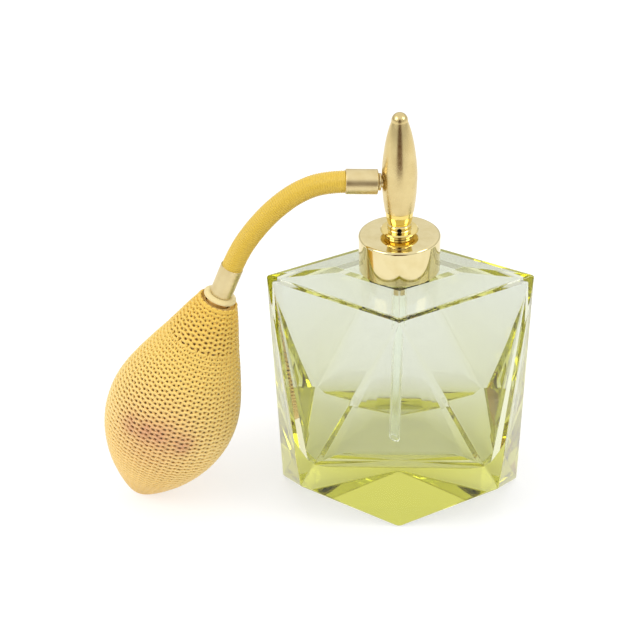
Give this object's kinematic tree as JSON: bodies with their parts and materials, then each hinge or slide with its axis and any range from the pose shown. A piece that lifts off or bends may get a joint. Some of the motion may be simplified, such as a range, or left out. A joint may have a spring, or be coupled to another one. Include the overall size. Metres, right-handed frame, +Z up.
{
  "type": "perfume atomiser",
  "caption": "Faceted glass perfume bottle with a screw-on metal cap, a torpedo spray head, a hose and a rubber squeeze bulb in a crocheted net.",
  "frame": {"origin": "centre of the bottle's flat base, on the surface it stands on", "axes": "+Z up along the bottle's axis, -Y towards the side the jet sprays to, the hose and bulb leave towards -X"},
  "size_m": [0.1226, 0.0473, 0.1193],
  "materials": {
    "bottle_glass": "polished",
    "collar_brass": "satin",
    "cement": "matte",
    "cap_gold": "polished",
    "liner_plastic": "matte",
    "base_gold": "polished",
    "finial_gold": "satin",
    "ferrule_gold": "brushed",
    "valve_brass": "turned",
    "gasket_rubber": "matte",
    "dip_plastic": "clear",
    "hose_rubber": "matte",
    "hose_silk": "silk sheen",
    "bulb_rubber": "matte",
    "net_yarn": "crocheted",
    "washer_ivory": "satin",
    "ball_steel": "polished"
  },
  "bodies": {
    "bottle": {"glass_bottle": "bottle_glass", "neck_collar": "collar_brass", "collar_cement": "cement"},
    "cap": {"cap_shell": "cap_gold", "cap_liner": "liner_plastic"},
    "head": {"spray_base": "base_gold", "nozzle_insert": "base_gold", "jet_tube": "valve_brass", "finial_washer": "liner_plastic", "lock_nut": "valve_brass", "sealing_gasket": "gasket_rubber", "siphon_stem": "valve_brass", "dip_tube": "dip_plastic"},
    "finial": {"finial_shell": "finial_gold", "air_nipple": "ferrule_gold"},
    "hose": {"head_ferrule": "ferrule_gold", "head_bush": "valve_brass", "hose_tube": "hose_rubber", "hose_braid": "hose_silk"},
    "bulb": {"bulb_ferrule": "ferrule_gold", "bulb_connector": "valve_brass", "bulb_washer": "washer_ivory", "rubber_bulb": "bulb_rubber", "net_cover": "net_yarn", "neck_binding": "net_yarn", "outlet_valve_body": "valve_brass", "inlet_valve_body": "valve_brass"},
    "outlet_ball": {"outlet_valve_ball": "ball_steel"},
    "inlet_ball": {"inlet_valve_ball": "ball_steel"}
  },
  "joints": [
    {"name": "head_lift", "type": "slide", "parent": "bottle", "child": "head", "axis": [0, 0, 1], "range_m": [0, 0.08]},
    {"name": "cap_turn", "type": "hinge", "parent": "head", "child": "cap", "pos_m": [0, 0, 0.0843], "axis": [0, 0, 1], "range_deg": [0, 540]},
    {"name": "finial_swivel", "type": "hinge", "parent": "head", "child": "finial", "pos_m": [0, 0, 0.09], "axis": [0, 0, 1], "range_deg": [-110, 110]},
    {"name": "hose_swivel", "type": "hinge", "parent": "finial", "child": "hose", "pos_m": [-0.00797, -0.00074, 0.10059], "axis": [-0.9939, -0.0922, 0.061], "range_deg": [-40, 40]},
    {"name": "hose_flex", "type": "hinge", "parent": "hose", "child": "bulb", "pos_m": [-0.03186, -0.00296, 0.0936], "axis": [-0.0924, 0.9957, 0], "range_deg": [0, 45], "stiffness_Nm_per_rad": 0.02, "deforming": ["hose_tube", "hose_braid"]},
    {"name": "bulb_squeeze", "type": "slide", "parent": "bulb", "child": "outlet_ball", "axis": [0.4066, 0.0377, 0.9128], "range_m": [0, 0.0007], "deforming": ["rubber_bulb", "net_cover"]},
    {"name": "inlet_valve", "type": "slide", "parent": "bulb", "child": "inlet_ball", "axis": [0.4066, 0.0377, 0.9128], "range_m": [0, 0.0012]}
  ]
}
